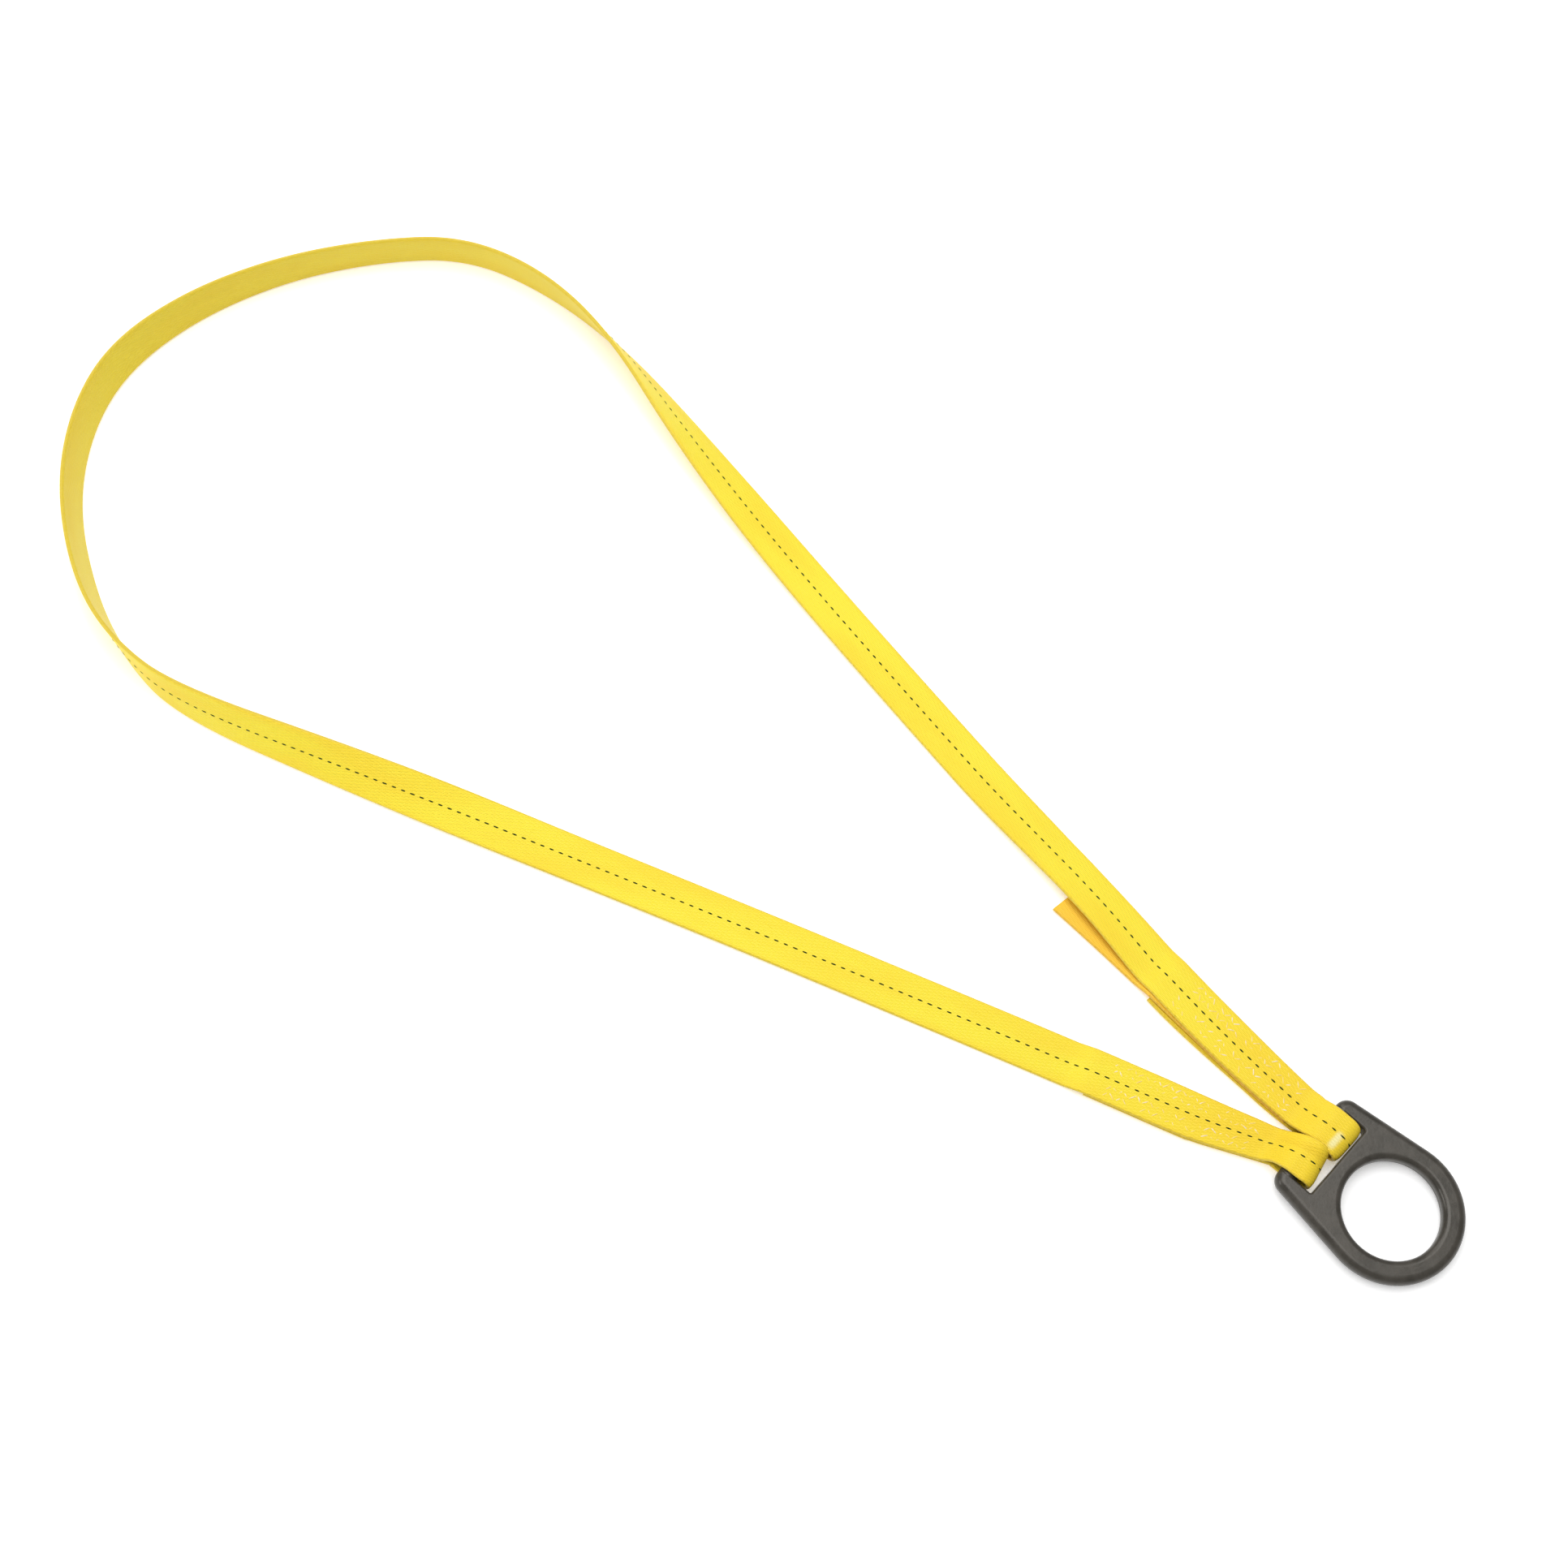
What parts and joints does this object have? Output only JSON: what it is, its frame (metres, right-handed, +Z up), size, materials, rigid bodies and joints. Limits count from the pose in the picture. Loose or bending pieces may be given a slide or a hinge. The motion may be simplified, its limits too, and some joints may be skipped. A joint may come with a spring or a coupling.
{
  "type": "web anchor strap with d-ring",
  "caption": "Flat webbing anchor strap: a loop of yellow band with both ends sewn round the bar of a forged slotted D-ring, to wrap round an anchor and take a hook.",
  "frame": {"origin": "bottom centre of the whole strap's box, on the surface it lies on", "axes": "+X along the strap towards the D-ring, +Z up, +Y towards the leg that carries the wear strip"},
  "size_m": [0.8936, 0.3416, 0.0255],
  "materials": {
    "forged_steel": "forged, dark grey satin coat",
    "webbing": "woven polyester webbing, semi-gloss",
    "strip_webbing": "woven polyester webbing, semi-gloss",
    "thread": "bonded thread"
  },
  "bodies": {
    "strap": {"strap_web": "webbing", "wear_strip": "strip_webbing", "stitching_upper": "thread", "stitching_lower": "thread"},
    "ring": {"d_ring": "forged_steel"}
  },
  "joints": [
    {"name": "ring_swing", "type": "hinge", "parent": "strap", "child": "ring", "pos_m": [0.36101, 0.06789, 0.00745], "axis": [0, 1, 0], "range_deg": [-115, 110]}
  ]
}
